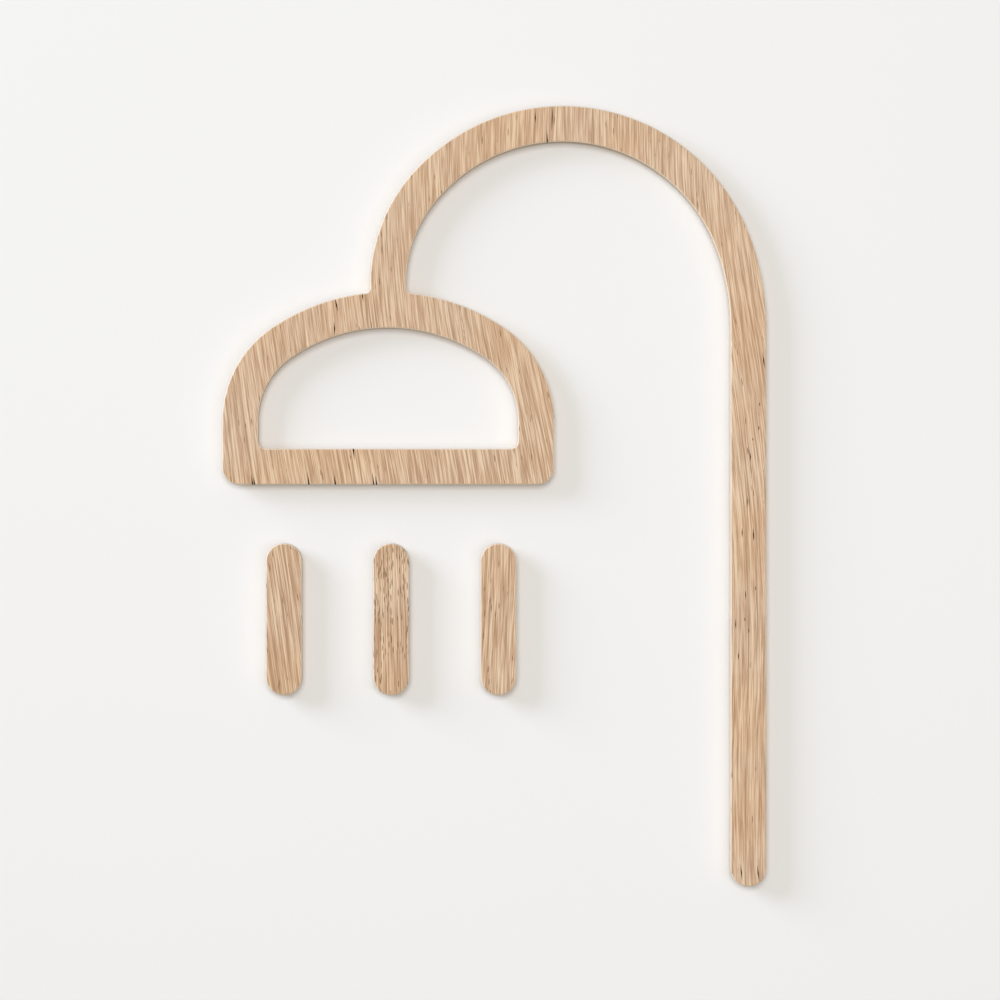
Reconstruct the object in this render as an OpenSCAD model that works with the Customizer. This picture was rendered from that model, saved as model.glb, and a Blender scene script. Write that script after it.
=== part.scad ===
// Shower pictogram for a bathroom wall.
// The sign stands upright in the XZ plane with its face towards -Y. The wall is the plane y = 0.
// The origin is on the wall, behind the middle of the shower head's base.

/* [Board] */
// Width of every stroke of the drawing, seen from the front
stroke = 9; // [6:0.5:12]
// Thickness of the oak board
board_t = 4; // [2:0.5:12]

/* [Shower head] */
// Width over the outside of the head
head_w = 83; // [66:1:102]
// Height of the head's upright sides, from its bottom edge to where the dome starts
side_h = 16; // [12:0.5:40]
// Outside radius of the dome's two haunches
haunch_r = 28; // [16:0.5:38]
// Outside radius of the dome's flat crown
dome_r = 51.8; // [42:0.1:90]
// Radius of the two bottom corners, outside
outer_corner_r = 4.2; // [1:0.1:8]
// Radius of the two bottom corners of the opening
inner_corner_r = 2; // [0.5:0.1:3.5]

/* [Pipe] */
// Straight stretch of pipe above the head
stem_h = 2; // [1.5:0.1:20]
// Radius of the fillets between the pipe and the head
fillet_r = 1.4; // [0.4:0.1:1.8]
// Centreline radius of the bend down to the head
drop_r = 37; // [24:0.5:70]
// Centreline radius of the top of the arch
arch_r = 45.6; // [30:0.5:80]
// Centreline radius of the bend down to the riser
shoulder_r = 61.5; // [30:0.5:90]
// Angle up from +X where the arch passes into the bend to the head
drop_angle = 140; // [110:1:165]
// Angle up from +X where the arch passes into the bend to the riser
shoulder_angle = 20; // [5:1:60]
// Height of the riser, from the end of its bend to its round foot
riser_h = 139.8; // [80:0.1:240]

/* [Water bars] */
// Length of a bar over its round ends
bar_h = 38; // [31:0.5:90]
// Distance between the centrelines of neighbouring bars
bar_pitch = 26.85; // [14:0.05:60]
// Shift of the row of bars to the right of the head's middle
bar_shift = 0.75; // [-10:0.05:10]
// Clear gap between the head and the bars
bar_gap = 14.7; // [2:0.1:40]

/* [Adhesive pads] */
// Thickness of the foam tape
pad_t = 1; // [0.5:0.1:3]
// Width of the foam tape
pad_w = 6; // [3:0.5:6.5]
// Length of the strips on the pipe and on the crown of the head
pad_l = 20; // [8:1:22]
// Length of the strip on the base of the head
base_pad_l = 50; // [10:1:56]
// Length of the strip on each water bar
bar_pad_l = 28; // [8:1:30]
// Distance from the riser's foot to the near end of its lowest strip
foot_clear = 12; // [4:1:30]

/* [Hidden] */
$fn = 96;
half_stroke = stroke / 2;
// Where two arcs run tangent into each other, the tighter one goes on this many degrees under the
// wider one, and the wider one is set in by the bite. The outlines then cross once, with no sliver.
lap = 2;
bite = 0.0005;
// Longer than any radius here, for the rays that cut slices out of discs
reach = 2 * (drop_r + arch_r + shoulder_r + dome_r);

// Head: the dome is a three-centred arch, so both haunches run tangent into the crown.
head_bottom = -half_stroke;
spring_z = head_bottom + side_h;
haunch_x = head_w / 2 - haunch_r;
dome_z = spring_z - sqrt(pow(dome_r - haunch_r, 2) - pow(haunch_x, 2)) - bite;
haunch_angle = atan2(spring_z - dome_z, haunch_x);
head_top = dome_z + dome_r;

// Pipe: three bends that run tangent into each other, on centres worked out from the head up.
drop_c = [drop_r, head_top + stem_h];
arch_c = drop_c + (drop_r - arch_r - bite) * along(drop_angle);
shoulder_c = arch_c + (arch_r - shoulder_r - bite) * along(shoulder_angle);
riser_x = shoulder_c.x + shoulder_r;
riser_top = shoulder_c.y;
riser_foot = riser_top - riser_h;

// Bars
bar_top = head_bottom - bar_gap;
bar_z = bar_top - bar_h / 2;

// Strips on the pipe: the right one on the arch sits this many degrees above the bend to the riser.
// On the riser, the highest starts where the bend ends and the lowest ends above the foot.
right_pad_lift = 20;
high_pad_z = riser_top - pad_l / 2;
low_pad_z = riser_foot + foot_clear + pad_l / 2;

// Unit vector at an angle up from +X, in the plane of the drawing.
function along(angle) = [cos(angle), sin(angle)];

// Where the middle of a bar stands: -1 is the left one, 0 the middle one, 1 the right one.
function bar_x(place) = bar_shift + place * bar_pitch;

// How far the middle of an arc of this radius stands proud of a strip's ends.
function bow(radius) = radius - sqrt(pow(radius, 2) - pow(pad_l / 2, 2));

// A slice of a disc between two angles, at most half a turn.
module sector(radius, from, to) {
    intersection() {
        circle(radius);
        polygon([[0, 0], reach * along(from), reach * along((from + to) / 2), reach * along(to)]);
    }
}

// The crown of the dome, this far inside its outer edge: it stands on the line between the haunches.
module crown_shape(inset) {
    right = [0, dome_z] + reach * along(haunch_angle);
    intersection() {
        translate([0, dome_z])
            circle(dome_r - inset);
        polygon([[-haunch_x, spring_z], [haunch_x, spring_z], right, [0, reach], [-right.x, right.y]]);
    }
}

// The head's outline, drawn this far inside its outer edge.
module head_shape(inset, corner_r) {
    half_w = head_w / 2 - inset;
    bottom = head_bottom + inset;
    crown_shape(inset);
    for (side = [0, 1])
        mirror([side, 0]) {
            translate([haunch_x, spring_z])
                sector(haunch_r - inset, 0, haunch_angle + lap);
            translate([half_w - corner_r, bottom + corner_r])
                sector(corner_r, -90, 0);
        }
    translate([-half_w, bottom + corner_r])
        square([2 * half_w, spring_z - bottom - corner_r]);
    translate([corner_r - half_w, bottom])
        square([2 * (half_w - corner_r), corner_r]);
}

// The web in the corner between the pipe's right side and the dome, cut back by the fillet's circle.
// It is rooted in the dome, on the radius through the point where the fillet meets it.
module stem_fillet() {
    fillet_x = half_stroke + fillet_r;
    fillet_z = dome_z + sqrt(pow(dome_r + fillet_r, 2) - pow(fillet_x, 2)) - bite;
    root = (dome_r - half_stroke) * along(atan2(fillet_z - dome_z, fillet_x));
    difference() {
        polygon([
            [0, fillet_z],
            [fillet_x, fillet_z],
            [root.x, dome_z + root.y],
            [0, head_top - half_stroke]
        ]);
        translate([fillet_x, fillet_z])
            circle(fillet_r);
    }
}

// The three bends of the pipe as one fan, its edge this far outside their centreline.
module bend_fan(shift) {
    translate(drop_c)
        sector(drop_r + shift, drop_angle - lap, 180);
    translate(arch_c)
        sector(arch_r + shift, shoulder_angle - lap, drop_angle);
    translate(shoulder_c)
        sector(shoulder_r + shift, 0, shoulder_angle);
}

// The pipe, from the crown of the head over the arch to the round foot of the riser.
module pipe_shape() {
    translate(drop_c)
        translate([-drop_r - half_stroke, -stem_h - half_stroke])
            square([stroke, stem_h + half_stroke]);
    difference() {
        bend_fan(half_stroke);
        bend_fan(-half_stroke);
    }
    translate(shoulder_c)
        translate([shoulder_r, half_stroke - riser_h]) {
            translate([-half_stroke, 0])
                square([stroke, riser_h - half_stroke]);
            sector(half_stroke, 180, 360);
        }
}

// A flat drawing made into board, standing off the wall by the thickness of the tape.
module board() {
    translate([0, -pad_t, 0])
        rotate([90, 0, 0])
            linear_extrude(board_t)
                children();
}

module shower_outline() {
    color("burlywood") {
        board()
            difference() {
                head_shape(0, outer_corner_r);
                head_shape(stroke, inner_corner_r);
            }
        board()
            stem_fillet();
        board()
            mirror([1, 0])
                stem_fillet();
        board()
            pipe_shape();
    }
}

module water_bar(place) {
    straight = bar_h - stroke;
    color("tan")
        board()
            translate([bar_x(place), bar_z]) {
                translate([-half_stroke, -straight / 2])
                    square([stroke, straight]);
                translate([0, straight / 2])
                    sector(half_stroke, 0, 180);
                translate([0, -straight / 2])
                    sector(half_stroke, 180, 360);
            }
}

// A strip of foam tape on the wall, its length turned this far up from +X.
module pad(center, angle, length = pad_l) {
    color("whitesmoke")
        translate([center.x, -pad_t / 2, center.y])
            rotate([0, -angle, 0])
                cube([length, pad_t, pad_w], center = true);
}

// A strip on a bend: it lies across the bend's radius and halfway into the bow of the centreline.
module bend_pad(center, radius, angle) {
    pad(center + (radius - bow(radius) / 2) * along(angle), angle + 90);
}

shower_outline();
water_bar(-1);  // water_bar_left
water_bar(0);  // water_bar_middle
water_bar(1);  // water_bar_right
pad([0, 0], 0, base_pad_l);  // head_base_pad
bend_pad([0, dome_z], dome_r - half_stroke, 90);  // head_crown_pad
bend_pad(drop_c, drop_r, (drop_angle + 180) / 2);  // arch_left_pad
bend_pad(arch_c, arch_r, 90);  // arch_top_pad
bend_pad(arch_c, arch_r, shoulder_angle + right_pad_lift);  // arch_right_pad
pad([riser_x, high_pad_z], 90);  // riser_upper_pad
pad([riser_x, (high_pad_z + low_pad_z) / 2], 90);  // riser_middle_pad
pad([riser_x, low_pad_z], 90);  // riser_lower_pad
pad([bar_x(-1), bar_z], 90, bar_pad_l);  // bar_left_pad
pad([bar_x(0), bar_z], 90, bar_pad_l);  // bar_middle_pad
pad([bar_x(1), bar_z], 90, bar_pad_l);  // bar_right_pad
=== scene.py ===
"""Oak shower pictogram for a bathroom wall: its visual model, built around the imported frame.

The sign is one sawn oak outline and three loose oak water bars, and each of them stands off the wall on
strips of white foam tape. Everything is in metres in the frame's own axes: X runs to the right, Z runs up,
the wall is the plane y = 0 and the sign faces -Y.
"""
import logging
import math
from dataclasses import dataclass
from enum import Enum
from typing import Any

import bmesh
import bpy
from mathutils import Matrix, Vector


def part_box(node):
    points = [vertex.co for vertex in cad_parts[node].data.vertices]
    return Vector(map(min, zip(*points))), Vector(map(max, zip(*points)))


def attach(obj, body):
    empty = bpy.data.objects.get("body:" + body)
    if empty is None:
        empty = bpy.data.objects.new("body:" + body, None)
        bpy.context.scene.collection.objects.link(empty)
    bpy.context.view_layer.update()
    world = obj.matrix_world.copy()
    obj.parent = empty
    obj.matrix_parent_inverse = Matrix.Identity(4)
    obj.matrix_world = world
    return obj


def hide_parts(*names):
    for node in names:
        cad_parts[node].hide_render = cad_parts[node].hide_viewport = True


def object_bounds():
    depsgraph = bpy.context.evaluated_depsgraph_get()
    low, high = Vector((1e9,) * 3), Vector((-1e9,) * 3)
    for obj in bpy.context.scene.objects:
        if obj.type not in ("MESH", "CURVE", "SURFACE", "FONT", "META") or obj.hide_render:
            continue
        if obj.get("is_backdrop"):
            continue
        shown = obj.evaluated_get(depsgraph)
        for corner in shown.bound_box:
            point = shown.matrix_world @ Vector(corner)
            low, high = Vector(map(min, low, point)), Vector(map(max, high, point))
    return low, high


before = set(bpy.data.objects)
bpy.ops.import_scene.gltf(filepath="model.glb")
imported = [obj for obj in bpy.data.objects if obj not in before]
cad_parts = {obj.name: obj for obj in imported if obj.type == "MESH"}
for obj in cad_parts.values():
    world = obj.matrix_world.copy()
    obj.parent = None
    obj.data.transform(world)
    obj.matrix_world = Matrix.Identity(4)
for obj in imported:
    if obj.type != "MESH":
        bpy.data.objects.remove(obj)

Vert, Edge, Face, Mesh = bmesh.types.BMVert, bmesh.types.BMEdge, bmesh.types.BMFace, bmesh.types.BMesh
Object, Material, Tree, Socket = (
    bpy.types.Object, bpy.types.Material, bpy.types.NodeTree, bpy.types.NodeSocket,
)

MM = 0.001
UNIT = (0.0, 1.0)
WELD = 0.002 * MM
TURN_AXIS = (0.0, 1.0, 0.0)
# Reach of the rubbed arris, and the numbers of faces across it and round the end of a stroke
ARRIS = 0.42 * MM
ARRIS_STEPS = 4
END_STEPS = 24
# A face lies flat to the wall if its normal's y is over the first of these. It looks back or down if its
# normal does so by more than the second.
FLAT = 0.999
SLIGHT = 0.01
# Faces that meet at more than this angle, in degrees, meet in a sharp edge.
SHARP_ANGLE = 38.0
# The right strip on the arch sits this many degrees above the bend to the riser.
RIGHT_PAD_LIFT = 20.0
BODY = "root"

log = logging.getLogger("shower_sign")


# ------ Small helpers ------
def along(degrees: float) -> Vector:
    """Gives the unit vector at an angle up from +X, in the plane of the sign.

    Args:
        degrees: The angle.

    Returns:
        The vector, with y = 0.
    """
    angle = math.radians(degrees)
    return Vector((math.cos(angle), 0.0, math.sin(angle)))


def linear(hex_colour: str) -> tuple[float, float, float, float]:
    """Turns an sRGB colour into the linear one that a shader takes.

    Args:
        hex_colour: Six hex digits, red first.

    Returns:
        Linear red, green and blue, and an alpha of 1.
    """
    channels = [int(hex_colour[place:place + 2], 16) / 255 for place in (0, 2, 4)]
    red, green, blue = (c / 12.92 if c <= 0.04045 else ((c + 0.055) / 1.055) ** 2.4 for c in channels)
    return red, green, blue, 1.0


def add_node(
    tree: Tree,
    kind: str,
    settings: dict[str, Any] | None = None,
    values: dict[Any, Any] | None = None,
    links: dict[Any, Socket] | None = None,
) -> bpy.types.Node:
    """Adds one shader node.

    Args:
        tree: The material's node tree.
        kind: The node's type, without its "ShaderNode" start.
        settings: Properties of the node itself.
        values: Constants for its inputs, by the input's name or number.
        links: Outputs of other nodes that feed its inputs, by the input's name or number.

    Returns:
        The node.
    """
    node = tree.nodes.new("ShaderNode" + kind)
    for name, value in (settings or {}).items():
        setattr(node, name, value)
    for key, value in (values or {}).items():
        node.inputs[key].default_value = value
    for key, output in (links or {}).items():
        tree.links.new(output, node.inputs[key])
    return node


def add_math(tree: Tree, operation: str, *operands: Any, clamp: bool = False) -> Socket:
    """Adds a calculation.

    Args:
        tree: The material's node tree.
        operation: Name of the calculation.
        operands: What it takes, in order: numbers, or outputs of other nodes.
        clamp: Whether the result is kept between 0 and 1.

    Returns:
        The result.
    """
    links = {key: part for key, part in enumerate(operands) if isinstance(part, Socket)}
    values = {key: part for key, part in enumerate(operands) if key not in links}
    settings = {"operation": operation, "use_clamp": clamp}
    return add_node(tree, "Math", settings, values, links).outputs["Value"]


def add_range(
    tree: Tree,
    number: Socket,
    old: tuple[float, float],
    new: tuple[float, float],
    clamp: bool = True,
) -> Socket:
    """Maps one range of numbers onto another.

    Args:
        tree: The material's node tree.
        number: The number.
        old: The range that it comes in.
        new: The range that it goes to.
        clamp: Whether the result is kept inside the new range.

    Returns:
        The mapped number.
    """
    values = {"From Min": old[0], "From Max": old[1], "To Min": new[0], "To Max": new[1]}
    return add_node(tree, "MapRange", {"clamp": clamp}, values, {"Value": number}).outputs["Result"]


def add_noise(
    tree: Tree, place: Socket, detail: float, scale: float = 1.0, roughness: float = 0.5
) -> Socket:
    """Adds a soft noise.

    Args:
        tree: The material's node tree.
        place: Coordinates that it is drawn in.
        detail: How much finer noise it carries.
        scale: Blotches to one unit of these coordinates.
        roughness: Strength of the finer noise.

    Returns:
        The noise, from 0 to 1 around a half.
    """
    values = {"Scale": scale, "Detail": detail, "Roughness": roughness}
    return add_node(tree, "TexNoise", values=values, links={"Vector": place}).outputs["Fac"]


def stretch(tree: Tree, place: Socket, across: float, length: float) -> Socket:
    """Stretches coordinates, so that one unit is as wide and as long as a mark of the pattern.

    Args:
        tree: The material's node tree.
        place: Coordinates with Z along the grain.
        across: Width of a mark.
        length: Length of a mark.

    Returns:
        The stretched coordinates.
    """
    values = {1: (1 / across, 1 / across, 1 / length)}
    return add_node(tree, "VectorMath", {"operation": "MULTIPLY"}, values, {0: place}).outputs["Vector"]


def add_ramp(tree: Tree, share: Socket, stops: list[tuple[float, Any]]) -> Socket:
    """Adds a ramp of colours.

    Args:
        tree: The material's node tree.
        share: Where on the ramp to look.
        stops: Places on the ramp from low to high, each with its linear colour.

    Returns:
        The colour.
    """
    ramp = add_node(tree, "ValToRGB", links={"Fac": share})
    elements = ramp.color_ramp.elements
    elements[0].position, elements[0].color = stops[0]
    elements[1].position, elements[1].color = stops[-1]
    for position, colour in stops[1:-1]:
        elements.new(position).color = colour
    return ramp.outputs["Color"]


def add_blend(tree: Tree, share: Socket, under: Any, over: str, mode: str = "MIX") -> Socket:
    """Blends one colour over another.

    Args:
        tree: The material's node tree.
        share: How much of the upper colour shows.
        under: The lower colour: sRGB hex, or the output of another node.
        over: The upper colour, as sRGB hex.
        mode: The way of blending.

    Returns:
        The colour.
    """
    values, links = {"B": linear(over)}, {"Factor": share}
    if isinstance(under, str):
        values["A"] = linear(under)
    else:
        links["A"] = under
    settings = {"data_type": "RGBA", "blend_type": mode}
    return add_node(tree, "Mix", settings, values, links).outputs["Result"]


def add_bump(tree: Tree, height: Socket, strength: float, depth: float) -> Socket:
    """Adds a relief.

    Args:
        tree: The material's node tree.
        height: Height of the relief, where 1 is its full depth.
        strength: Strength of the relief.
        depth: Its full depth, in millimetres.

    Returns:
        The bent normal.
    """
    values = {"Strength": strength, "Distance": depth * MM}
    return add_node(tree, "Bump", values=values, links={"Height": height}).outputs["Normal"]


def object_place(tree: Tree) -> Socket:
    """Gives a piece's own coordinates, in metres.

    Args:
        tree: The material's node tree.

    Returns:
        The coordinates.
    """
    return add_node(tree, "TexCoord").outputs["Object"]


def finish_shader(tree: Tree, values: dict[str, Any], links: dict[str, Socket]) -> None:
    """Ends a material in one principled shader.

    Args:
        tree: The material's node tree.
        values: Constants for the shader's inputs.
        links: Outputs of other nodes that feed its inputs.
    """
    shader = add_node(tree, "BsdfPrincipled", values=values, links=links)
    add_node(tree, "OutputMaterial", links={"Surface": shader.outputs["BSDF"]})


def new_material(name: str) -> tuple[Material, Tree]:
    """Makes an empty node material.

    Args:
        name: The material's name.

    Returns:
        The material and its node tree.
    """
    material = bpy.data.materials.new(name)
    material.use_nodes = True
    material.node_tree.nodes.clear()
    return material, material.node_tree


# ------ Finishes ------
@dataclass(frozen=True)
class RingFigure:
    """How the yearly rings mark the face of one piece of oak. Lengths are in millimetres.

    Attributes:
        pitch: Width of one ring on a face cut square to the rings.
        wander: How far a ring strays sideways.
        contrast: Strength of the light and dark bands.
        pores: How readily pores stand open and dark. At 1, all those in the thick of a cluster do.
        fibre: Strength of the fine fibre streaks.
        evenness: Share of the figure that even rings make, against broken streaks.
        run: How far streaks and fibres run along the grain, as a multiple of their usual length.
        sway: How far the grain swings to and fro over a long piece.
    """

    pitch: float
    wander: float
    contrast: float
    pores: float
    fibre: float
    evenness: float
    run: float = 1.0
    sway: float = 0.0


class Figure(Enum):
    """The figures that the four pieces of the sign show."""

    WANDERING = RingFigure(
        pitch=1.5, wander=3.2, contrast=0.46, pores=0.24, fibre=0.8, evenness=0.42, run=0.7, sway=2.7
    )
    BROAD = RingFigure(pitch=1.4, wander=1.5, contrast=0.9, pores=0.3, fibre=0.9, evenness=0.68, run=0.8)
    PORED = RingFigure(pitch=0.95, wander=1.5, contrast=0.4, pores=2.4, fibre=1.15, evenness=0.4)
    CALM = RingFigure(pitch=1.25, wander=2.0, contrast=0.6, pores=0.35, fibre=0.9, evenness=0.6, run=0.7)


@dataclass(frozen=True)
class SawnOak:
    """White oak, sawn, sanded fine and left with a thin matt oil.

    The eye gets pale cream and tan bands along the grain, short dark pores in the porous part of each ring,
    fine fibre streaks, a slow drift between pink and yellow, and paler wood on the sawn sides and the
    rubbed arris: partly raw sanded wood and partly a painted highlight and sheen where the edges catch the
    light. The pattern is solid, so a side across the grain shows the cut ends of the pores.

    Attributes:
        name: The material's name.
        figure: How the rings mark the face.
        lean: Degrees by which the grain's top leans to the left of upright.
        log_place: Where in the log the piece was cut, in millimetres.
        mid_y: Middle of the board's thickness, in metres.
        half_t: Half of the board's thickness, in metres.
    """

    name: str
    figure: Figure
    lean: float
    log_place: tuple[float, float, float]
    mid_y: float
    half_t: float

    # Sizes of the pattern, in millimetres: first across the grain, then along it
    WANDER_SIZE = (42.0, 95.0)
    STREAK_SIZE = (0.6, 48.0)
    FIBRE_SIZE = (0.3, 15.0)
    PORE_SIZE = (0.33, 3.0)
    CLUSTER_SIZE = (3.5, 24.0)
    DRIFT_SIZE = (22.0, 22.0)
    # The grain swings over this length, and leans most at this height in the log.
    SWAY_LENGTH = 170.0
    SWAY_MIDDLE = 27.0
    # Depth of an open pore after sanding
    PORE_DEPTH = 0.07
    # Angle at which the rings cross the board's thickness, in degrees
    RIFT = 32.0
    # The tone that fibres give at full strength, and how dark the pores are
    FIBRE_TONE = 1.6
    PORE_SHARE = 0.8
    # A wave texture repeats every 2 pi / 20 of its own coordinates.
    WAVE_PITCH = 2 * math.pi / 20

    def build(self) -> Material:
        """Builds the material.

        Returns:
            The oak.
        """
        material, tree = new_material(self.name)
        place = self._log_coordinates(tree)
        bands = self._bands(tree, place)
        fibre = self._streaks(tree, place, self.FIBRE_SIZE, detail=2.0, run=self.figure.value.run)
        pores = self._pores(tree, place, bands)
        # Sanding leaves the late wood a little proud and the pores open.
        ribbed = add_math(tree, "MULTIPLY_ADD", fibre, 0.25, bands)
        height = add_math(tree, "SUBTRACT", add_math(tree, "MULTIPLY", ribbed, 0.3), pores)
        links = {
            "Base Color": self._colour(tree, place, bands, fibre, pores),
            "Roughness": add_range(tree, pores, UNIT, (0.52, 0.8)),
            "Normal": add_bump(tree, height, strength=1.0, depth=self.PORE_DEPTH),
        }
        finish_shader(tree, {"IOR": 1.5, "Specular IOR Level": 0.35}, links)
        return material

    def _log_coordinates(self, tree: Tree) -> Socket:
        """Gives coordinates in the log, in millimetres, with Z along the grain and wandering rings.

        Args:
            tree: The material's node tree.

        Returns:
            The coordinates.
        """
        ring = self.figure.value
        rift = math.radians(self.RIFT)
        turned = add_node(
            tree, "Mapping",
            values={
                "Scale": (1 / MM, 1 / MM, 1 / MM),
                "Rotation": (0.0, math.radians(self.lean), rift),
                "Location": self.log_place,
            },
            links={"Vector": object_place(tree)},
        ).outputs["Vector"]
        noise = add_noise(tree, stretch(tree, turned, *self.WANDER_SIZE), detail=1.0, roughness=0.45)
        stray = add_range(tree, noise, UNIT, (-ring.wander, ring.wander), clamp=False)
        height = add_node(tree, "SeparateXYZ", links={"Vector": turned}).outputs["Z"]
        swing = (self.SWAY_MIDDLE, self.SWAY_MIDDLE + self.SWAY_LENGTH)
        phase = add_range(tree, height, swing, (0.0, 2 * math.pi), clamp=False)
        strayed = add_math(tree, "MULTIPLY_ADD", add_math(tree, "SINE", phase), ring.sway, stray)
        # The board's own X, seen from the log: a shift this way keeps every streak in one piece.
        sideways = add_node(
            tree, "VectorMath",
            settings={"operation": "SCALE"},
            values={0: (math.cos(rift), math.sin(rift), 0.0)},
            links={"Scale": strayed},
        )
        wandered = add_node(
            tree, "VectorMath",
            settings={"operation": "ADD"},
            links={0: turned, 1: sideways.outputs["Vector"]},
        )
        return wandered.outputs["Vector"]

    def _streaks(
        self,
        tree: Tree,
        place: Socket,
        size: tuple[float, float],
        detail: float = 1.0,
        run: float = 1.0,
    ) -> Socket:
        """Draws soft streaks along the grain.

        Args:
            tree: The material's node tree.
            place: Coordinates in the log.
            size: Width and length of a streak, in millimetres.
            detail: How much finer detail the streaks carry.
            run: What their length is multiplied by.

        Returns:
            The streaks, from 0 to 1 around a half.
        """
        across, length = size
        return add_noise(tree, stretch(tree, place, across, length * run), detail, roughness=0.6)

    def _bands(self, tree: Tree, place: Socket) -> Socket:
        """Draws the yearly rings: even waves of the ring's pitch, broken up by streaks.

        Args:
            tree: The material's node tree.
            place: Coordinates in the log.

        Returns:
            The bands, 0 in the porous early wood and 1 in the pale late wood.
        """
        ring = self.figure.value
        wave = add_node(
            tree, "TexWave",
            settings={"wave_type": "BANDS", "bands_direction": "X", "wave_profile": "SAW"},
            values={"Scale": self.WAVE_PITCH / ring.pitch, "Distortion": 0.0},
            links={"Vector": place},
        )
        streaks = self._streaks(tree, place, self.STREAK_SIZE, detail=3.0, run=ring.run)
        mixed = add_node(
            tree, "Mix",
            settings={"data_type": "FLOAT"},
            values={"Factor": 1 - ring.evenness},
            links={"A": wave.outputs["Fac"], "B": add_range(tree, streaks, (0.34, 0.66), UNIT)},
        )
        return mixed.outputs["Result"]

    def _pores(self, tree: Tree, place: Socket, bands: Socket) -> Socket:
        """Draws the open pores: short dashes along the grain, most of them in the early wood.

        Args:
            tree: The material's node tree.
            place: Coordinates in the log.
            bands: The yearly rings.

        Returns:
            1 inside a pore and 0 outside.
        """
        cells = add_node(
            tree, "TexVoronoi",
            settings={"feature": "F1"},
            values={"Scale": 1.0, "Randomness": 1.0},
            links={"Vector": stretch(tree, place, *self.PORE_SIZE)},
        )
        draw = add_node(tree, "SeparateColor", links={"Color": cells.outputs["Color"]}).outputs["Red"]
        # A pore opens where its own draw, the early wood and the cluster that it lies in allow it.
        crowd = add_range(tree, self._streaks(tree, place, self.CLUSTER_SIZE), (0.6, 0.4), (0.2, 1.0))
        early = add_range(tree, bands, (0.75, 0.25), (0.3, 1.0))
        chance = add_math(tree, "MULTIPLY", add_math(tree, "MULTIPLY", crowd, early), self.figure.value.pores)
        won = add_math(tree, "SUBTRACT", chance, draw, clamp=True)
        # A pore that barely opens is narrow. Its rim is soft, as shares of a cell's width.
        radius = add_range(tree, won, (0.0, 0.1), (0.0, 0.36))
        inside = add_math(tree, "SUBTRACT", radius, cells.outputs["Distance"])
        return add_range(tree, inside, (-0.02, 0.12), UNIT)

    def _pale_edges_and_highlight(self, tree: Tree) -> Socket:
        """Finds the sawn sides and the arris, by how far a point lies under the board's two faces.

        Args:
            tree: The material's node tree.

        Returns:
            How much paler the wood is there: 0 on the faces, most on the rubbed arris, less on the sides.
            The paleness is partly raw sanded wood and partly a painted highlight and sheen.
        """
        depth = add_node(tree, "SeparateXYZ", links={"Vector": object_place(tree)}).outputs["Y"]
        offset = add_math(tree, "ABSOLUTE", add_math(tree, "SUBTRACT", depth, self.mid_y))
        # From the side over the arris to the face, as shares of half the board's thickness. The paleness is
        # partly raw sanded wood and partly painted highlight.
        pale = ((0.60, 0.45), (0.78, 0.85), (0.93, 0.85), (0.997, 0.0))
        stops = [(position, (paleness, paleness, paleness, 1.0)) for position, paleness in pale]
        return add_ramp(tree, add_math(tree, "DIVIDE", offset, self.half_t), stops)

    def _colour(
        self,
        tree: Tree,
        place: Socket,
        bands: Socket,
        fibre: Socket,
        pores: Socket,
    ) -> Socket:
        """Colours the wood.

        Args:
            tree: The material's node tree.
            place: Coordinates in the log.
            bands: The yearly rings.
            fibre: The fine fibre streaks.
            pores: The open pores.

        Returns:
            The colour.
        """
        swing = 0.5 * self.figure.value.contrast
        grain = self.FIBRE_TONE * self.figure.value.fibre
        banded = add_range(tree, bands, UNIT, (0.5 - swing, 0.5 + swing), clamp=False)
        fine = add_range(tree, fibre, UNIT, (-grain, grain), clamp=False)
        # Tan early wood, the wood between and pale late wood
        tones = [(0.1, linear("B18D6B")), (0.5, linear("CFAE8F")), (0.9, linear("E7CEB0"))]
        wood = add_ramp(tree, add_math(tree, "ADD", banded, fine, clamp=True), tones)
        drift = add_range(tree, self._streaks(tree, place, self.DRIFT_SIZE), (0.35, 0.65), (0.0, 0.5))
        drifted = add_blend(tree, drift, wood, "FFF6E4", "MULTIPLY")
        # The sides and the arris are blended towards pale cream: partly raw sanded wood, partly a painted
        # highlight and sheen where the edges catch the light.
        cut = add_blend(tree, self._pale_edges_and_highlight(tree), drifted, "F6EAD8")
        return add_blend(tree, add_math(tree, "MULTIPLY", pores, self.PORE_SHARE), cut, "846141")


@dataclass(frozen=True)
class CheckedOak:
    """Oak inside a drying check too deep to be sanded: torn fibres, dull, dark brown as painted shade."""

    name: str = "oak_drying_check_shade"
    # Thickness and length of a torn fibre, in millimetres
    fibre: tuple[float, float] = (0.1, 2.0)

    def build(self) -> Material:
        """Builds the material.

        Returns:
            The dark oak.
        """
        material, tree = new_material(self.name)
        thick, long = self.fibre
        fibres = add_noise(tree, stretch(tree, object_place(tree), thick * MM, long * MM), detail=2.0)
        # Painted shade: the walls of a check are coloured dark brown for the shade deep inside it.
        colour = add_blend(tree, fibres, "4A3020", "7A5638")
        finish_shader(tree, {"Roughness": 0.9, "IOR": 1.5}, {"Base Color": colour})
        return material


@dataclass(frozen=True)
class FoamTape:
    """White closed-cell polyethylene foam, die-cut: fine round cells that catch the light on every cut."""

    name: str = "foam_closed_cell_pe"
    # Width of a foam cell, in millimetres
    cell: float = 0.16

    def build(self) -> Material:
        """Builds the material.

        Returns:
            The foam.
        """
        material, tree = new_material(self.name)
        cells = add_node(
            tree, "TexVoronoi",
            values={"Scale": 1 / (self.cell * MM), "Randomness": 0.9},
            links={"Vector": object_place(tree)},
        ).outputs["Distance"]
        links = {
            "Base Color": add_blend(tree, cells, "DEDDD8", "F4F3EF"),
            "Normal": add_bump(tree, cells, strength=0.6, depth=0.05),
        }
        finish_shader(tree, {"Roughness": 0.75, "IOR": 1.5}, links)
        return material


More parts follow.
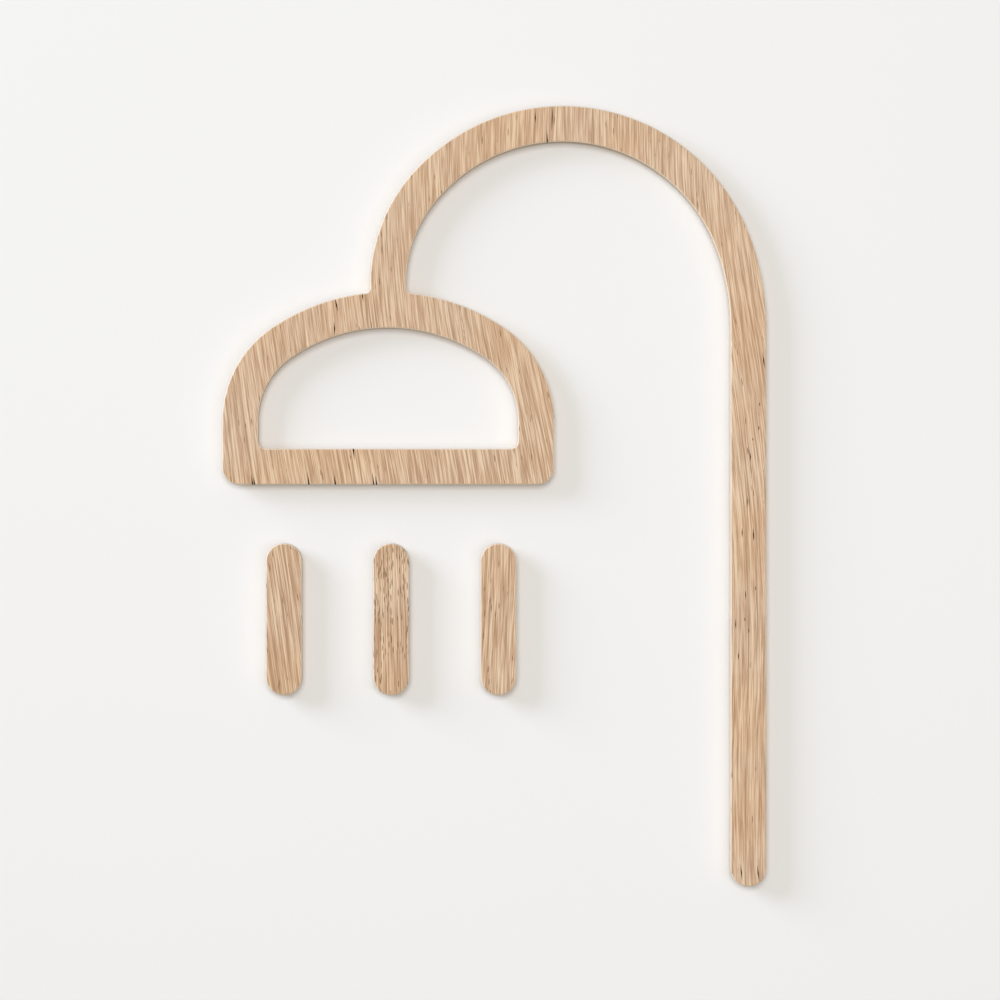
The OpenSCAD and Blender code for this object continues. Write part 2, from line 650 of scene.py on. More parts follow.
@dataclass(frozen=True)
class AcrylicAdhesive:
    """Clear acrylic adhesive rolled onto white foam: a glossy, slightly rippled film with trapped air."""

    name: str = "acrylic_adhesive_film"
    # Distance between ripples that the roller leaves, and between trapped bubbles, in millimetres
    ripple: float = 1.1
    bubble: float = 0.7

    def build(self) -> Material:
        """Builds the material.

        Returns:
            The adhesive.
        """
        material, tree = new_material(self.name)
        place = object_place(tree)
        ripples = add_noise(tree, place, detail=1.0, scale=1 / (self.ripple * MM))
        bubbles = add_node(
            tree, "TexVoronoi",
            values={"Scale": 1 / (self.bubble * MM)},
            links={"Vector": place},
        )
        trapped = add_range(tree, bubbles.outputs["Distance"], (0.3, 0.16), UNIT)
        links = {
            "Base Color": add_blend(tree, trapped, "E9E7E0", "D8D5CC"),
            "Normal": add_bump(tree, ripples, strength=0.5, depth=0.03),
        }
        finish_shader(tree, {"Roughness": 0.22, "IOR": 1.47}, links)
        return material


@dataclass(frozen=True)
class WallPaint:
    """Matt white emulsion, rolled on: almost plain, with a faint stipple. It is one-sided.

    From behind it lets the view through, so that the back of the sign can be looked at.
    """

    name: str = "matt_emulsion_white"
    # Distance between the bumps that the roller leaves, in millimetres
    stipple: float = 1.6

    def build(self) -> Material:
        """Builds the material.

        Returns:
            The paint.
        """
        material, tree = new_material(self.name)
        stipple = add_noise(tree, object_place(tree), detail=3.0, scale=1 / (self.stipple * MM))
        paint = add_node(
            tree, "BsdfPrincipled",
            values={"Base Color": linear("F3F3F2"), "Roughness": 0.9, "Specular IOR Level": 0.2},
            links={"Normal": add_bump(tree, stipple, strength=0.25, depth=0.05)},
        )
        clear = add_node(tree, "BsdfTransparent")
        side = add_node(tree, "NewGeometry")
        one_sided = add_node(
            tree, "MixShader",
            links={0: side.outputs["Backfacing"], 1: paint.outputs["BSDF"], 2: clear.outputs["BSDF"]},
        )
        add_node(tree, "OutputMaterial", links={"Surface": one_sided.outputs["Shader"]})
        return material


# ------ Tools of the bench ------
class StrokePen:
    """Draws a flat stroke by sweeping a row of joined edges, its nib, over the plane of the sign's face.

    Attributes:
        mesh: The mesh that it draws in.
        face_y: Where the plane lies.
        nib: The nib's vertices and edges.
    """

    def __init__(self, mesh: Mesh, face_y: float) -> None:
        """Takes up the pen.

        Args:
            mesh: The mesh to draw in.
            face_y: Where the plane lies.
        """
        self.mesh = mesh
        self.face_y = face_y
        self.nib: list[Any] = []

    def set_down(self, start: Vector, end: Vector, parts: int = 1) -> None:
        """Sets the nib down as a straight row of edges.

        Args:
            start: One end of the row.
            end: The other end.
            parts: Number of edges in the row.
        """
        row = []
        for place in range(parts + 1):
            point = start.lerp(end, place / parts)
            row.append(self.mesh.verts.new((point.x, self.face_y, point.z)))
        self.nib = row + [self.mesh.edges.new(pair) for pair in zip(row, row[1:])]

    def take(self, edges: list[Edge]) -> None:
        """Takes up edges that are already drawn as the nib."""
        ends = {vertex for edge in edges for vertex in edge.verts}
        self.nib = list(ends) + list(edges)

    def turn(self, centre: Vector, degrees: float, steps: int) -> None:
        """Sweeps the nib round a centre.

        Args:
            centre: The centre.
            degrees: How far, clockwise as the face is seen.
            steps: Number of steps.
        """
        swept = bmesh.ops.spin(
            self.mesh,
            geom=self.nib,
            cent=(centre.x, self.face_y, centre.z),
            axis=TURN_AXIS,
            angle=math.radians(degrees),
            steps=steps,
            use_merge=False,
        )
        self.nib = swept["geom_last"]

    def go(self, x: float = 0.0, y: float = 0.0, z: float = 0.0) -> None:
        """Sweeps the nib straight on.

        Args:
            x: How far to the right.
            y: How far back.
            z: How far up.
        """
        edges = [part for part in self.nib if isinstance(part, Edge)]
        drawn = bmesh.ops.extrude_edge_only(self.mesh, edges=edges)["geom"]
        self.nib = [part for part in drawn if not isinstance(part, Face)]
        bmesh.ops.translate(self.mesh, verts=self._points(), vec=(x, y, z))

    def level(self, z: float) -> None:
        """Sweeps the nib up or down until all of it lies at one height.

        Args:
            z: The height.
        """
        self.go()
        for point in self._points():
            point.co.z = z

    def round_off(self, steps: int) -> None:
        """Ends the stroke in a half round, by sweeping half of the nib round its middle.

        Args:
            steps: Number of steps.
        """
        points = self._points()
        middle = sum((point.co for point in points), Vector()) / len(points)
        heading = self._heading(middle)
        half = [point for point in points if (point.co - middle).cross(heading).y > -WELD]
        edges = [
            part for part in self.nib
            if isinstance(part, Edge) and all(end in half for end in part.verts)
        ]
        self.nib = half + edges
        self.turn(middle, 180.0, steps)

    def _points(self) -> list[Vert]:
        """Gives the nib's vertices."""
        return [part for part in self.nib if isinstance(part, Vert)]

    def _heading(self, middle: Vector) -> Vector:
        """Gives the direction in which the stroke was going.

        Args:
            middle: The middle of the nib.

        Returns:
            A vector that points away from the stroke's last face.
        """
        faces = {face for point in self._points() for face in point.link_faces}
        behind = sum((face.calc_center_median() for face in faces), Vector()) / len(faces)
        return (middle - behind).normalized()


def thicken(mesh: Mesh, thickness: float) -> None:
    """Makes a flat drawing into a board whose back lies behind the drawing.

    Args:
        mesh: The mesh that holds the drawing.
        thickness: Thickness of the board.
    """
    bmesh.ops.remove_doubles(mesh, verts=mesh.verts[:], dist=WELD)
    grown = bmesh.ops.extrude_face_region(mesh, geom=mesh.faces[:])["geom"]
    back = [part for part in grown if isinstance(part, Vert)]
    bmesh.ops.translate(mesh, verts=back, vec=(0.0, thickness, 0.0))
    bmesh.ops.recalc_face_normals(mesh, faces=mesh.faces[:])


def bevel(mesh: Mesh, edges: list[Edge], offset: float, steps: int) -> None:
    """Rounds edges of a mesh.

    Args:
        mesh: The mesh.
        edges: The edges.
        offset: How far from an edge its round starts.
        steps: Number of faces across a round.
    """
    bmesh.ops.bevel(
        mesh, geom=edges, offset=offset, offset_type="OFFSET", segments=steps, profile=0.5,
        affect="EDGES", clamp_overlap=False, material=-1,
    )


def make_object(mesh: Mesh, name: str, materials: list[Material | None]) -> Object:
    """Makes a mesh into an object of the scene.

    Args:
        mesh: The mesh.
        name: The object's name.
        materials: Its materials, in slot order.

    Returns:
        The object.
    """
    data = bpy.data.meshes.new(name)
    mesh.to_mesh(data)
    for material in materials:
        data.materials.append(material)
    made = bpy.data.objects.new(name, data)
    bpy.context.scene.collection.objects.link(made)
    return made


def round_corners(mesh: Mesh, places: list[Vector], offset: float, steps: int) -> None:
    """Rounds corners of a board's outline.

    Args:
        mesh: The board.
        places: The corners, at any y.
        offset: How far from the corner the round starts.
        steps: Number of faces that make the round.
    """
    posts = []
    for edge in mesh.edges:
        one, other = (end.co for end in edge.verts)
        upright = (one - other).xz.length < WELD
        if upright and any((one - place).xz.length < WELD for place in places):
            posts.append(edge)
    ends = {end for post in posts for end in post.verts}
    crossing = [edge for edge in mesh.edges if lies_in_face(edge) and any(end in ends for end in edge.verts)]
    bmesh.ops.dissolve_edges(mesh, edges=crossing, use_verts=False)
    bevel(mesh, posts, offset, steps)


def lies_in_face(edge: Edge) -> bool:
    """Tells whether an edge lies inside a flat face of the board, and not on its rim."""
    return len(edge.link_faces) == 2 and all(abs(face.normal.y) > FLAT for face in edge.link_faces)


def is_rim(edge: Edge) -> bool:
    """Tells whether an edge lies between a flat face of the board and one of its sides."""
    return len(edge.link_faces) == 2 and sum(abs(face.normal.y) > FLAT for face in edge.link_faces) == 1


def rub_arris(mesh: Mesh) -> None:
    """Rubs the sharp edges round the faces of a board, as sandpaper does.

    Args:
        mesh: The board.
    """
    bevel(mesh, [edge for edge in mesh.edges if is_rim(edge)], ARRIS, ARRIS_STEPS)


@dataclass(frozen=True)
class DryingCheck:
    """A crack that opened along the grain as the oak dried: widest and deepest at its mouth.

    Attributes:
        mouth: Where it is widest, as x and z in millimetres: on the board's edge, or its own middle.
        tip: Where it closes, as x and z in millimetres.
        width: Width at the mouth, in millimetres.
        depth: Depth at the mouth, in millimetres.
    """

    mouth: tuple[float, float]
    tip: tuple[float, float]
    width: float = 0.4
    depth: float = 1.6

    def shape(self, cutter: Mesh, face_y: float) -> None:
        """Adds the crack to a cutter, as a thin spike with a diamond-shaped section.

        Args:
            cutter: The mesh that will be cut away from the board.
            face_y: Where the board's face lies.
        """
        mouth = Vector((self.mouth[0] * MM, face_y, self.mouth[1] * MM))
        tip = Vector((self.tip[0] * MM, face_y, self.tip[1] * MM))
        way = tip - mouth
        size = Matrix.Diagonal((self.width / 2 * MM, self.depth * MM, way.length, 1.0))
        turn = Matrix.Rotation(math.atan2(way.x, way.z), 4, "Y")
        bmesh.ops.create_uvsphere(
            cutter, u_segments=4, v_segments=2, radius=1.0, matrix=Matrix.Translation(mouth) @ turn @ size
        )


def open_checks(mesh: Mesh, checks: list[DryingCheck], face_y: float) -> None:
    """Cuts drying checks out of a board. Their walls take the board's second material, the dark oak of
    painted shade.

    Args:
        mesh: The board.
        checks: The cracks.
        face_y: Where the board's face lies.
    """
    cutter = bmesh.new()
    for check in checks:
        check.shape(cutter, face_y)
    for face in cutter.faces:
        face.material_index = 1
    shapes = []
    for name, shape in (("uncut_board", mesh), ("check_cutter", cutter)):
        # Slots for the oak and for the dark oak that paints the shade in the checks, so that the cut keeps
        # the numbers of both.
        shapes.append(make_object(shape, name, [None, None]))
    cutter.free()
    cut = shapes[0].modifiers.new("checks", "BOOLEAN")
    cut.operation = "DIFFERENCE"
    cut.solver = "EXACT"
    cut.object = shapes[1]
    opened = shapes[0].evaluated_get(bpy.context.evaluated_depsgraph_get()).to_mesh()
    mesh.clear()
    mesh.from_mesh(opened)
    bmesh.ops.dissolve_degenerate(mesh, dist=WELD / 10, edges=mesh.edges[:])
    for shape in shapes:
        data = shape.data
        bpy.data.objects.remove(shape)
        bpy.data.meshes.remove(data)


def finish_piece(mesh: Mesh, name: str, materials: list[Material], node: str) -> Object:
    """Makes a finished mesh into a piece that rides on the body and stands for its CAD node.

    Args:
        mesh: The mesh, which is freed.
        name: The piece's name.
        materials: Its materials, in slot order.
        node: The CAD node that it replaces.

    Returns:
        The piece.
    """
    piece = make_object(mesh, name, materials)
    mesh.free()
    piece.data.shade_smooth()
    piece.data.set_sharp_from_angle(angle=math.radians(SHARP_ANGLE))
    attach(piece, BODY)
    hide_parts(node)
    return piece


def settle_normals(piece: Object) -> None:
    """Weights a piece's normals by area, so that its flat faces look flat up to the rubbed arris."""
    weighted = piece.modifiers.new("flat_faces", "WEIGHTED_NORMAL")
    weighted.keep_sharp = True
    weighted.weight = 100


# ------ The sign ------
@dataclass
class OutlineBoard:
    """The shower drawn as one stroke of oak: a domed head, a pipe in three bends and a long riser.

    Attributes:
        stroke: Width of the stroke.
        side_h: Height of the head's upright sides up to where the dome starts.
        haunch_r: Outside radius of the dome's haunches.
        dome_r: Outside radius of the dome's crown.
        outer_corner_r: Radius of the head's two bottom corners.
        inner_corner_r: Radius of the opening's two bottom corners.
        stem_h: Straight stretch of pipe above the head.
        fillet_r: Radius between the pipe and the head.
        drop_r: Centreline radius of the bend down to the head.
        arch_r: Centreline radius of the top of the arch.
        shoulder_r: Centreline radius of the bend down to the riser.
        drop_angle: Where the arch passes into the bend to the head, in degrees up from +X.
        shoulder_angle: Where the arch passes into the bend to the riser, in degrees up from +X.
        base_checks: Drying checks that open on the base's lower edge: where, and how long, in millimetres.
        checks: The other drying checks.
        gaping_pores: The riser's widest open pores: x and z of their middle and their length, in millimetres.
    """

    stroke: float = 9.0 * MM
    side_h: float = 16.0 * MM
    haunch_r: float = 28.0 * MM
    dome_r: float = 51.8 * MM
    outer_corner_r: float = 4.2 * MM
    inner_corner_r: float = 2.0 * MM
    stem_h: float = 2.0 * MM
    fillet_r: float = 1.4 * MM
    drop_r: float = 37.0 * MM
    arch_r: float = 45.6 * MM
    shoulder_r: float = 61.5 * MM
    drop_angle: float = 140.0
    shoulder_angle: float = 20.0
    base_checks: tuple[tuple[float, float], ...] = (
        (-33.9, 2.9), (-33.4, 2.1), (-19.8, 3.4), (-13.2, 2.6), (-3.6, 3.2), (-2.9, 2.5),
    )
    checks: tuple[DryingCheck, ...] = (
        # On the base's upper edge
        DryingCheck((-8.7, 4.5), (-8.4, 1.6)),
        # In the crown of the head
        DryingCheck((-12.9, 40.4), (-12.5, 38.6), width=0.36),
        DryingCheck((-13.4, 34.4), (-13.3, 32.4), width=0.3),
        DryingCheck((-6.4, 42.6), (-6.2, 41.2), width=0.3),
        # On the arch's inner edge, and over it
        DryingCheck((39.8, 81.2), (39.7, 84.6), width=0.36),
        DryingCheck((36.8, 87.2), (36.8, 88.6), width=0.24),
        DryingCheck((41.0, 87.0), (41.1, 90.4), width=0.26),
        # Along the riser and on its foot
        DryingCheck((93.9, 26.4), (94.2, 24.2), width=0.3),
        DryingCheck((88.3, -101.4), (88.1, -99.2), width=0.3),
        DryingCheck((92.5, -101.6), (92.3, -99.6), width=0.3),
    )
    gaping_pores: tuple[tuple[float, float, float], ...] = (
        (92.9, 15.6, 1.2), (92.7, 9.6, 1.4), (91.2, 6.8, 0.9), (90.6, 2.4, 2.6), (89.8, -8.8, 3.2),
        (88.5, -16.5, 2.8), (91.3, -17.0, 4.0), (91.9, -30.4, 1.4), (89.4, -32.0, 2.6),
        (89.2, -38.2, 1.2), (86.9, -39.4, 2.8), (90.2, -41.0, 1.4), (87.6, -47.4, 2.2),
    )

    # How far a check of the base leans to the left, as a share of its length
    CHECK_LEAN = 0.12
    # Width and depth of a gaping pore, in millimetres
    GAP_WIDTH = 0.24
    GAP_DEPTH = 0.6
    # Number of faces along the rounds of the head, of the pipe, and of corners and fillets
    NECK_STEPS, CROWN_STEPS, HAUNCH_STEPS = 2, 14, 36
    DROP_STEPS, ARCH_STEPS, SHOULDER_STEPS = 20, 60, 12
    OUTER_STEPS, INNER_STEPS, FILLET_STEPS = 12, 8, 6

    def __post_init__(self) -> None:
        """Works out the places that follow from the sizes and from the board's box."""
        self.low, self.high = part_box("shower_outline")
        self.half_w = -self.low.x
        # The middle of the base's stroke is z = 0. The dome starts here, and its haunches run tangent into
        # the crown.
        self.spring_z = self.side_h - self.stroke / 2
        drop = math.sqrt((self.dome_r - self.haunch_r) ** 2 - (self.half_w - self.haunch_r) ** 2)
        self.dome = Vector((0.0, 0.0, self.spring_z - drop))
        # Angle at the dome's centre between upright and the pipe's side, in degrees
        self.neck_angle = math.degrees(math.asin(self.stroke / 2 / self.dome_r))

    def build(self, oak: Material, checked: Material) -> Object:
        """Builds the board.

        Args:
            oak: The oak of its faces and sides.
            checked: The dark oak, painted shade, inside its drying checks and gaping pores.

        Returns:
            The piece.
        """
        mesh = bmesh.new()
        self._draw_head(mesh)
        self._draw_pipe(mesh)
        thicken(mesh, self.high.y - self.low.y)
        self._round_corners(mesh)
        rub_arris(mesh)
        open_checks(mesh, self._all_checks(), self.low.y)
        piece = finish_piece(mesh, "oak_shower_outline", [oak, checked], "shower_outline")
        settle_normals(piece)
        return piece

    def _all_checks(self) -> list[DryingCheck]:
        """Lists the drying checks. Those of the base lean with the grain.

        Returns:
            The cracks.
        """
        edge = -self.stroke / 2 / MM
        on_base = [
            DryingCheck((place, edge), (place - self.CHECK_LEAN * length, edge + length))
            for place, length in self.base_checks
        ]
        # The widest pores are cut as checks, so their walls take the same dark painted shade.
        in_riser = [
            DryingCheck((x, z), (x, z + length / 2), self.GAP_WIDTH, self.GAP_DEPTH)
            for x, z, length in self.gaping_pores
        ]
        return on_base + list(self.checks) + in_riser

    def _draw_head(self, mesh: Mesh) -> None:
        """Draws the head: its right half from the crown round to the base, and the same mirrored.

        Args:
            mesh: The mesh to draw in.
        """
        dome = self.dome
        haunch = Vector((self.half_w - self.haunch_r, 0.0, self.spring_z))
        haunch_angle = math.degrees(math.atan2(haunch.z - dome.z, haunch.x))
        pen = StrokePen(mesh, self.low.y)
        pen.set_down(dome + self.dome_r * along(90), dome + (self.dome_r - self.stroke) * along(90))
        pen.turn(dome, self.neck_angle, self.NECK_STEPS)
        pen.turn(dome, 90 - haunch_angle - self.neck_angle, self.CROWN_STEPS)
        pen.turn(haunch, haunch_angle, self.HAUNCH_STEPS)
        pen.go(z=self.stroke / 2 - haunch.z)
        pen.go(z=-self.stroke)
        pen.take([edge for edge in mesh.edges if self._closes_base(edge)])
        pen.go(x=self.stroke - self.half_w)
        drawn = mesh.verts[:] + mesh.edges[:] + mesh.faces[:]
        bmesh.ops.mirror(mesh, geom=drawn, matrix=Matrix.Identity(4), merge_dist=WELD, axis="X")
        bmesh.ops.remove_doubles(mesh, verts=mesh.verts[:], dist=WELD)

    def _closes_base(self, edge: Edge) -> bool:
        """Tells whether an edge is the inner side of the corner square, where the base starts."""
        return all(
            abs(end.co.x - (self.half_w - self.stroke)) < WELD and end.co.z < self.stroke / 2 + WELD
            for end in edge.verts
        )

    def _draw_pipe(self, mesh: Mesh) -> None:
        """Draws the pipe, from the crown of the head over the arch to the round foot of the riser.

        Args:
            mesh: The mesh to draw in.
        """
        stem_top = self.dome.z + self.dome_r + self.stem_h
        drop = Vector((self.drop_r, 0.0, stem_top))
        arch = drop + (self.drop_r - self.arch_r) * along(self.drop_angle)
        shoulder = arch + (self.arch_r - self.shoulder_r) * along(self.shoulder_angle)
        pen = StrokePen(mesh, self.low.y)
        pen.take([edge for edge in mesh.edges if self._carries_pipe(edge)])
        pen.level(stem_top)
        pen.turn(drop, 180 - self.drop_angle, self.DROP_STEPS)
        pen.turn(arch, self.drop_angle - self.shoulder_angle, self.ARCH_STEPS)
        pen.turn(shoulder, self.shoulder_angle, self.SHOULDER_STEPS)
        pen.go(z=self.low.z + self.stroke / 2 - shoulder.z)
        pen.round_off(END_STEPS)

    def _carries_pipe(self, edge: Edge) -> bool:
        """Tells whether an edge lies on the dome's outer rim, under the pipe."""
        return all(
            abs((end.co - self.dome).xz.length - self.dome_r) < WELD
            and abs(end.co.x) < self.stroke / 2 + WELD
            and end.co.z > self.dome.z
            for end in edge.verts
        )

    def _round_corners(self, mesh: Mesh) -> None:
        """Rounds the head's corners, inside and out, and the two necks between pipe and head.

        Args:
            mesh: The board.
        """
        neck = self.dome + self.dome_r * along(90 - self.neck_angle)
        # The neck's walls meet at a right angle and the dome's own slope there.
        neck_offset = self.fillet_r / math.tan(math.radians((90 + self.neck_angle) / 2))
        corners = (
            (self.half_w, -self.stroke / 2, self.outer_corner_r, self.OUTER_STEPS),
            (self.half_w - self.stroke, self.stroke / 2, self.inner_corner_r, self.INNER_STEPS),
            (neck.x, neck.z, neck_offset, self.FILLET_STEPS),
        )
        for x, z, offset, steps in corners:
            round_corners(mesh, [Vector((side * x, 0, z)) for side in (-1, 1)], offset, steps)


@dataclass
class WaterBar:
    """One loose bar of water: a short straight stroke with two round ends.

    Attributes:
        side: Which bar it is: "left", "middle" or "right".
    """

    side: str

    def build(self, oak: Material) -> Object:
        """Builds the bar in the place of its CAD node.

        Args:
            oak: The oak of its faces and sides.

        Returns:
            The piece.
        """
        node = "water_bar_" + self.side
        low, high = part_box(node)
        radius = (high.x - low.x) / 2
        top_left = Vector((low.x, 0.0, high.z - radius))
        top_right = Vector((high.x, 0.0, high.z - radius))
        mesh = bmesh.new()
        pen = StrokePen(mesh, low.y)
        pen.set_down(top_left, top_right, 2)
        start = pen.nib
        pen.go(z=low.z - high.z + 2 * radius)
        pen.round_off(END_STEPS)
        pen.nib = start
        pen.round_off(END_STEPS)
        thicken(mesh, high.y - low.y)
        rub_arris(mesh)
        piece = finish_piece(mesh, "oak_bar_" + self.side, [oak], node)
        settle_normals(piece)
        return piece


@dataclass
class TapeStrip:
    """One strip of double-sided foam tape, pressed between the oak and the wall.

    Attributes:
        node: The CAD node that it stands for.
        tilt: Degrees by which its length is turned up from +X.
        bulge: How far the pressed foam swells out of its cut sides.
        corner: Radius of its corners, as the scissors and the pressing leave them.
    """

    node: str
    tilt: float
    bulge: float = 0.1 * MM
    corner: float = 0.5 * MM

    # Number of faces round a corner, and over the thickness of a swelled side
    CORNER_STEPS = 4
    SWELL_STEPS = 6

    def build(self, foam: Material, adhesive: Material) -> Object:
        """Builds the strip.

        Args:
            foam: The foam of its sides.
            adhesive: The adhesive on its two faces.

        Returns:
            The piece.
        """
        low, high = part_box(self.node)
        length, width = self._size(low, high)
        mesh = bmesh.new()
        bmesh.ops.create_cube(mesh, size=1.0)
        bmesh.ops.scale(mesh, verts=mesh.verts[:], vec=(length, high.y - low.y, width))
        bevel(mesh, self._posts(mesh), self.corner, self.CORNER_STEPS)
        self._swell(mesh, length, width)
        for face in mesh.faces:
            face.material_index = 1 if abs(face.normal.y) > FLAT else 0
        turn = Matrix.Rotation(-math.radians(self.tilt), 3, "Y")
        bmesh.ops.rotate(mesh, verts=mesh.verts[:], cent=(0, 0, 0), matrix=turn)
        bmesh.ops.translate(mesh, verts=mesh.verts[:], vec=(low + high) / 2)
        name = "foam_" + self.node.removesuffix("_pad")
        piece = finish_piece(mesh, name, [foam, adhesive], self.node)
        return piece

    def _posts(self, mesh: Mesh) -> list[Edge]:
        """Gives the strip's edges that cross its thickness."""
        return [edge for edge in mesh.edges if abs(edge.verts[0].co.y - edge.verts[1].co.y) > WELD]

    def _size(self, low: Vector, high: Vector) -> tuple[float, float]:
        """Works out the strip's length and width from the box of its turned CAD node.

        Args:
            low: The lowest corner of the box.
            high: The highest corner of the box.

        Returns:
            The length and the width.
        """
        cos, sin = (abs(part) for part in (along(self.tilt).x, along(self.tilt).z))
        wide, tall = high.x - low.x, high.z - low.z
        spread = cos ** 2 - sin ** 2
        return (wide * cos - tall * sin) / spread, (tall * cos - wide * sin) / spread

    def _swell(self, mesh: Mesh, length: float, width: float) -> None:
        """Swells the foam out of its cut sides, most at the middle of its thickness.

        Args:
            mesh: The strip, lying along X at the origin.
            length: Length of the strip.
            width: Width of the strip.
        """
        cut = bmesh.ops.subdivide_edges(
            mesh, edges=self._posts(mesh), cuts=self.SWELL_STEPS - 1, use_grid_fill=True
        )
        inner = {part for part in cut["geom_inner"] if isinstance(part, Vert)}
        half_t = max(vertex.co.y for vertex in mesh.verts)
        for vertex in inner:
            share = 1 - (vertex.co.y / half_t) ** 2
            away = Vector((vertex.co.x * width / length, 0.0, vertex.co.z)).normalized()
            vertex.co += self.bulge * share * away
        bmesh.ops.recalc_face_normals(mesh, faces=mesh.faces[:])


# ------ The studio ------
@dataclass(frozen=True)
class SoftLight:
    """One square soft light that faces the sign.

    Attributes:
        name: The light's name.
        way: Direction from the sign to the light.
        distance: Distance from the sign.
        size: Length of the light's side.
        power: Power, in watts.
        colour: Colour of the light, as sRGB hex.
    """

    name: str
    way: tuple[float, float, float]
    distance: float
    size: float
    power: float
    colour: str = "FCFDFF"

    def hang(self, middle: Vector) -> None:
        """Hangs the light.

        Args:
            middle: The middle of the sign.
        """
        way = Vector(self.way)
        data = bpy.data.lights.new(self.name, "AREA")
        data.shape = "SQUARE"
        data.size = self.size
        data.energy = self.power
        data.color = linear(self.colour)[:3]
        light = bpy.data.objects.new(self.name, data)
        light.location = middle + way.normalized() * self.distance
        light.rotation_mode = "QUATERNION"
        light.rotation_quaternion = way.to_track_quat("Z", "Y")
        light.visible_camera = False
        bpy.context.scene.collection.objects.link(light)


@dataclass
class Studio:
    """A pale wall that sweeps down into a pale floor, soft square lights and a long lens.

    Attributes:
        reach: Half of the wall's width, and the floor's depth.
        floor_z: Height of the floor.
        cove: Radius of the sweep between wall and floor.
        view_width: Width of what the camera sees, at the face of the sign.
        view_shift: How far the middle of the view lies from the middle of the sign.
        lens: Focal length, in millimetres.
        lights: The lights.
    """

    reach: float = 1.6
    floor_z: float = -0.9
    cove: float = 0.25
    view_width: float = 250 * MM
    view_shift: tuple[float, float] = (1.4 * MM, -0.95 * MM)
    lens: float = 130.0
    lights: tuple[SoftLight, ...] = (
        SoftLight("window_light", (-0.80, -0.36, 0.42), distance=1.9, size=0.95, power=22.0, colour="E4EFFF"),
        SoftLight("room_light", (-0.05, -0.98, 0.17), distance=1.6, size=0.55, power=10.2),
        SoftLight("right_fill", (0.38, -0.90, -0.12), distance=0.8, size=0.4, power=1.0),
        # The wall takes no part in the bounced light, so these stand in for what it sends to the sides.
        SoftLight("wall_bounce_left", (-0.90, 0.38, 0.15),
                  distance=1.4, size=1.1, power=9.2, colour="FFFDF8"),
        SoftLight("wall_bounce_right", (0.85, 0.50, 0.25),
                  distance=1.0, size=0.8, power=1.7, colour="FFF8EE"),
    )

    # Number of faces round the cove
    COVE_STEPS = 16

    def build(self, paint: Material) -> None:
        """Builds the stage, the lights and the camera.

        Args:
            paint: The paint of wall and floor.
        """
        low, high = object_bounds()
        middle = (low + high) / 2
        self._backdrop(paint)
        self._lights(middle)
        self._camera(Vector((middle.x + self.view_shift[0], low.y, middle.z + self.view_shift[1])))

    def _backdrop(self, paint: Material) -> None:
        """Builds the wall and the floor as one sweep.

        Args:
            paint: The paint.
        """
        mesh = bmesh.new()
        pen = StrokePen(mesh, 0.0)
        pen.set_down(Vector((-self.reach, 0, self.reach)), Vector((self.reach, 0, self.reach)))
        pen.go(z=self.floor_z - self.reach)
        crease = [part for part in pen.nib if isinstance(part, Edge)]
        pen.go(y=-self.reach)
        bevel(mesh, crease, self.cove, self.COVE_STEPS)
        for face in mesh.faces:
            if face.normal.y > SLIGHT or face.normal.z < -SLIGHT:
                face.normal_flip()
        sweep = make_object(mesh, "studio_sweep", [paint])
        mesh.free()
        sweep.data.shade_smooth()
        # The wall is only a background: it takes shadows, and it keeps no light off the sign's back.
        sweep.visible_diffuse = False
        sweep.visible_glossy = False
        sweep.visible_shadow = False
        sweep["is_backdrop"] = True

    def _lights(self, middle: Vector) -> None:
        """Hangs the window on the upper left and the room's light above the camera, and fills the shadows.

        Args:
            middle: The middle of the sign.
        """
        room = bpy.data.worlds.new("pale_room")
        room.use_nodes = True
        sky = room.node_tree.nodes["Background"]
        sky.inputs["Color"].default_value = linear("FFF4E4")
        sky.inputs["Strength"].default_value = 0.33
        bpy.context.scene.world = room
        for light in self.lights:
            light.hang(middle)

    def _camera(self, aim: Vector) -> None:
        """Sets up the camera straight in front of the sign.

        Args:
            aim: The middle of the view, on the sign's face.
        """
        data = bpy.data.cameras.new("front_camera")
        data.sensor_width = 36.0
        data.lens = self.lens
        distance = self.view_width * data.lens / data.sensor_width
        camera = bpy.data.objects.new("front_camera", data)
        camera.location = aim - Vector((0.0, distance, 0.0))
        camera.rotation_euler = (math.radians(90), 0.0, 0.0)
        bpy.context.scene.collection.objects.link(camera)
        bpy.context.scene.camera = camera
        bpy.context.scene.view_settings.view_transform = "Standard"


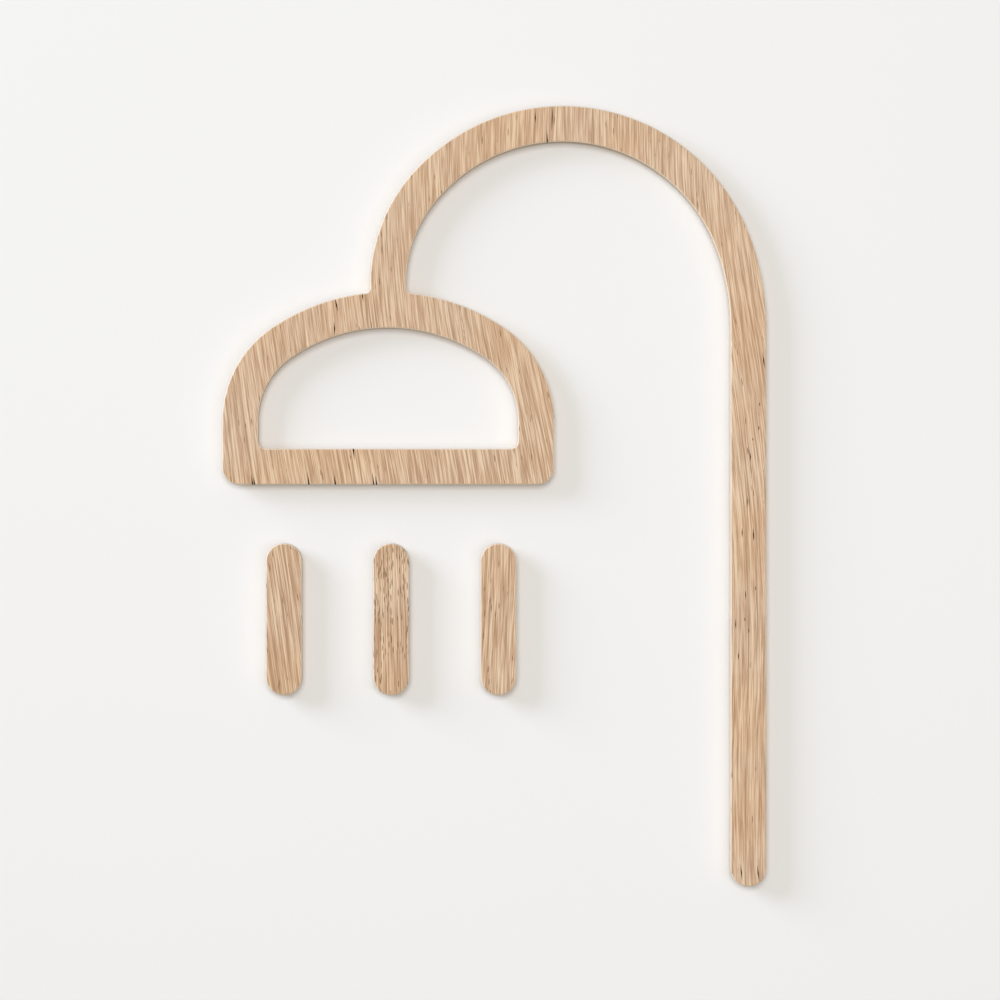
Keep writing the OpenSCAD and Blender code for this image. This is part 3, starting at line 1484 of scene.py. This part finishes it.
# ------ Putting it together ------
def oak_for(
    name: str, node: str, figure: Figure, lean: float, log_place: tuple[float, float, float]
) -> SawnOak:
    """Describes the oak of one piece.

    Args:
        name: The material's name.
        node: The CAD node that the piece stands for.
        figure: How the rings mark the face.
        lean: Degrees by which the grain's top leans to the left.
        log_place: Where in the log the piece was cut, in millimetres.

    Returns:
        The finish.
    """
    low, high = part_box(node)
    return SawnOak(name, figure, lean, log_place, (low.y + high.y) / 2, (high.y - low.y) / 2)


def report(piece: Object) -> None:
    """Reports a piece's faces and size through the log."""
    size = [round(side / MM, 2) for side in piece.dimensions]
    log.info("%s: %d faces, %s mm", piece.name, len(piece.data.polygons), size)


def main() -> None:
    """Builds the sign and the studio, and writes down how large the model came out."""
    logging.basicConfig(level=logging.INFO, format="%(name)s: %(message)s")
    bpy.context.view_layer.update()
    checked = CheckedOak().build()

    outline = OutlineBoard()
    outline_oak = oak_for("oak_sawn_outline", "shower_outline", Figure.WANDERING, 3.4, (12.0, 40.0, 7.0))
    report(outline.build(outline_oak.build(), checked))

    bars = {
        "left": (Figure.BROAD, 8.0, (310.0, 25.0, 60.0)),
        "middle": (Figure.PORED, 1.0, (150.0, 90.0, 200.0)),
        "right": (Figure.CALM, -2.0, (420.0, 140.0, 330.0)),
    }
    for side, (figure, lean, log_place) in bars.items():
        oak = oak_for("oak_sawn_bar_" + side, "water_bar_" + side, figure, lean, log_place)
        report(WaterBar(side).build(oak.build()))

    foam, adhesive = FoamTape().build(), AcrylicAdhesive().build()
    tilts = {
        "head_base_pad": 0.0,
        "head_crown_pad": 0.0,
        "arch_left_pad": (outline.drop_angle + 180) / 2 + 90,
        "arch_top_pad": 0.0,
        "arch_right_pad": outline.shoulder_angle + RIGHT_PAD_LIFT + 90,
        "riser_upper_pad": 90.0,
        "riser_middle_pad": 90.0,
        "riser_lower_pad": 90.0,
        "bar_left_pad": 90.0,
        "bar_middle_pad": 90.0,
        "bar_right_pad": 90.0,
    }
    for node, tilt in tilts.items():
        report(TapeStrip(node, tilt).build(foam, adhesive))

    Studio().build(WallPaint().build())
    bpy.context.view_layer.update()


if __name__ == "__main__":
    main()
